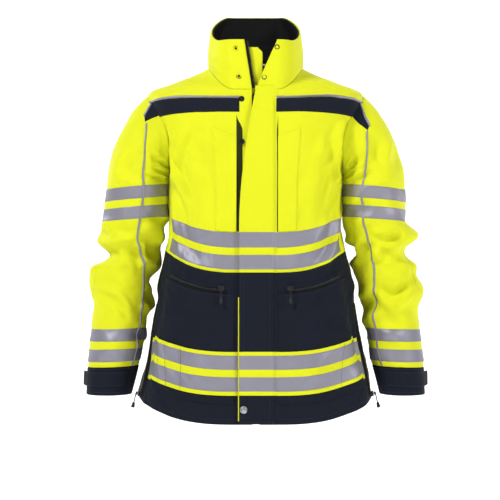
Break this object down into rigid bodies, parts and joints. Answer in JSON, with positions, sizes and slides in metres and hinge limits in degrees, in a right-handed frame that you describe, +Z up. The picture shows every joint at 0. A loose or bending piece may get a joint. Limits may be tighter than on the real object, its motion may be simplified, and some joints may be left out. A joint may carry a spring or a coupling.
{
  "type": "high-visibility coat",
  "caption": "Hip-length high-visibility coat with collar, zip, storm flap, pockets, banded sleeves and cuff tabs, shown as worn.",
  "frame": {"origin": "neck point: midway between the shoulders at the height of the neck seam's sides, where the coat hangs on its wearer", "axes": "+X to the wearer's left, +Y to the back, +Z up; the coat faces -Y"},
  "size_m": [0.6598, 0.3074, 0.7812],
  "materials": {
    "hi_vis_shell": "matte",
    "navy_shell": "matte",
    "reflective_tape": "satin",
    "black_lining": "matte",
    "black_plastic": "satin",
    "snap_metal": "satin",
    "navy_tab": "matte"
  },
  "bodies": {
    "shell": {"front_upper_right": "hi_vis_shell", "front_upper_left": "hi_vis_shell", "front_lower_right": "navy_shell", "front_lower_left": "navy_shell", "back_yoke": "navy_shell", "back_upper": "hi_vis_shell", "back_lower": "navy_shell", "side_upper_right": "hi_vis_shell", "side_upper_left": "hi_vis_shell", "side_lower_right": "black_lining", "side_lower_left": "black_lining", "chest_bands": "navy_shell", "chest_piping": "reflective_tape", "shoulder_patches": "hi_vis_shell", "chest_pockets": "hi_vis_shell", "collar_shell": "hi_vis_shell", "collar_lining": "black_lining", "wind_guard": "hi_vis_shell", "body_lining": "black_lining", "hanger_loop": "black_lining", "zip_tapes": "black_lining", "zip_teeth": "black_plastic", "snap_studs": "snap_metal", "body_tapes": "reflective_tape", "hem_band_backing": "hi_vis_shell", "hand_pocket_right": "navy_shell", "hand_pocket_left": "navy_shell", "pocket_zips": "black_plastic", "side_zips": "black_plastic"},
    "storm_flap": {"storm_flap_upper": "hi_vis_shell", "storm_flap_lower": "navy_shell", "flap_tapes": "reflective_tape", "flap_snaps": "snap_metal"},
    "main_slider": {"main_zip_slider": "snap_metal"},
    "main_puller": {"main_zip_puller": "black_plastic"},
    "pocket_slider_right": {"pocket_slider_right": "black_plastic"},
    "pocket_pull_right": {"pocket_pull_right": "black_plastic"},
    "side_slider_right": {"side_slider_right": "black_plastic"},
    "side_pull_right": {"side_pull_right": "black_plastic"},
    "upper_sleeve_right": {"sleeve_right": "hi_vis_shell", "arm_tapes_right": "reflective_tape", "sleeve_piping_right": "reflective_tape"},
    "forearm_right": {"forearm_right": "hi_vis_shell", "forearm_tapes_right": "reflective_tape", "forearm_piping_right": "reflective_tape", "cuff_right": "navy_shell"},
    "cuff_tab_right": {"cuff_tab_right": "navy_tab"},
    "pocket_slider_left": {"pocket_slider_left": "black_plastic"},
    "pocket_pull_left": {"pocket_pull_left": "black_plastic"},
    "side_slider_left": {"side_slider_left": "black_plastic"},
    "side_pull_left": {"side_pull_left": "black_plastic"},
    "upper_sleeve_left": {"sleeve_left": "hi_vis_shell", "arm_tapes_left": "reflective_tape", "sleeve_piping_left": "reflective_tape"},
    "forearm_left": {"forearm_left": "hi_vis_shell", "forearm_tapes_left": "reflective_tape", "forearm_piping_left": "reflective_tape", "cuff_left": "navy_shell"},
    "cuff_tab_left": {"cuff_tab_left": "navy_tab"}
  },
  "joints": [
    {"name": "storm_flap_hinge", "type": "hinge", "parent": "shell", "child": "storm_flap", "pos_m": [0.036, -0.13299, -0.36963], "axis": [0, 0.0748, 0.9972], "range_deg": [0, 90]},
    {"name": "main_zip_slide", "type": "slide", "parent": "shell", "child": "main_slider", "axis": [0, -0.0748, -0.9972], "range_m": [0, 0.56]},
    {"name": "main_puller_swing", "type": "hinge", "parent": "main_slider", "child": "main_puller", "pos_m": [0, -0.10481, -0.05882], "axis": [-1, 0, 0], "range_deg": [0, 10]},
    {"name": "pocket_zip_slide_right", "type": "slide", "parent": "shell", "child": "pocket_slider_right", "axis": [-0.9821, 0.1499, 0.1144], "range_m": [0, 0.045]},
    {"name": "pocket_pull_swing_right", "type": "hinge", "parent": "pocket_slider_right", "child": "pocket_pull_right", "pos_m": [-0.06511, -0.14217, -0.42618], "axis": [-0.9982, 0.0592, 0], "range_deg": [0, 80]},
    {"name": "side_zip_slide_right", "type": "slide", "parent": "shell", "child": "side_slider_right", "axis": [0.1872, 0.0232, 0.982], "range_m": [0, 0.17]},
    {"name": "side_pull_swing_right", "type": "hinge", "parent": "side_slider_right", "child": "side_pull_right", "pos_m": [-0.23093, -0.0482, -0.63079], "axis": [-0.2068, 0.9784, 0], "range_deg": [0, 55]},
    {"name": "shoulder_right", "type": "hinge", "parent": "shell", "child": "upper_sleeve_right", "pos_m": [-0.2095, 0, -0.0505], "axis": [0, 1, 0], "range_deg": [0, 45]},
    {"name": "elbow_right", "type": "hinge", "parent": "upper_sleeve_right", "child": "forearm_right", "pos_m": [-0.2529, -0.0605, -0.385], "axis": [-1, 0, 0], "range_deg": [0, 60]},
    {"name": "cuff_tab_hinge_right", "type": "hinge", "parent": "forearm_right", "child": "cuff_tab_right", "pos_m": [-0.25082, -0.06376, -0.60131], "axis": [0.2076, 0.0948, 0.9736], "range_deg": [0, 100]},
    {"name": "pocket_zip_slide_left", "type": "slide", "parent": "shell", "child": "pocket_slider_left", "axis": [0.9821, 0.1499, 0.1144], "range_m": [0, 0.045]},
    {"name": "pocket_pull_swing_left", "type": "hinge", "parent": "pocket_slider_left", "child": "pocket_pull_left", "pos_m": [0.06511, -0.14217, -0.42618], "axis": [-0.9982, -0.0592, 0], "range_deg": [0, 80]},
    {"name": "side_zip_slide_left", "type": "slide", "parent": "shell", "child": "side_slider_left", "axis": [-0.1872, 0.0232, 0.982], "range_m": [0, 0.17]},
    {"name": "side_pull_swing_left", "type": "hinge", "parent": "side_slider_left", "child": "side_pull_left", "pos_m": [0.23093, -0.0482, -0.63079], "axis": [-0.2068, -0.9784, 0], "range_deg": [0, 55]},
    {"name": "shoulder_left", "type": "hinge", "parent": "shell", "child": "upper_sleeve_left", "pos_m": [0.2095, 0, -0.0505], "axis": [0, -1, 0], "range_deg": [0, 45]},
    {"name": "elbow_left", "type": "hinge", "parent": "upper_sleeve_left", "child": "forearm_left", "pos_m": [0.2529, -0.0605, -0.385], "axis": [-1, 0, 0], "range_deg": [0, 60]},
    {"name": "cuff_tab_hinge_left", "type": "hinge", "parent": "forearm_left", "child": "cuff_tab_left", "pos_m": [0.25082, -0.06376, -0.60131], "axis": [0.2076, -0.0948, -0.9736], "range_deg": [0, 100]}
  ]
}
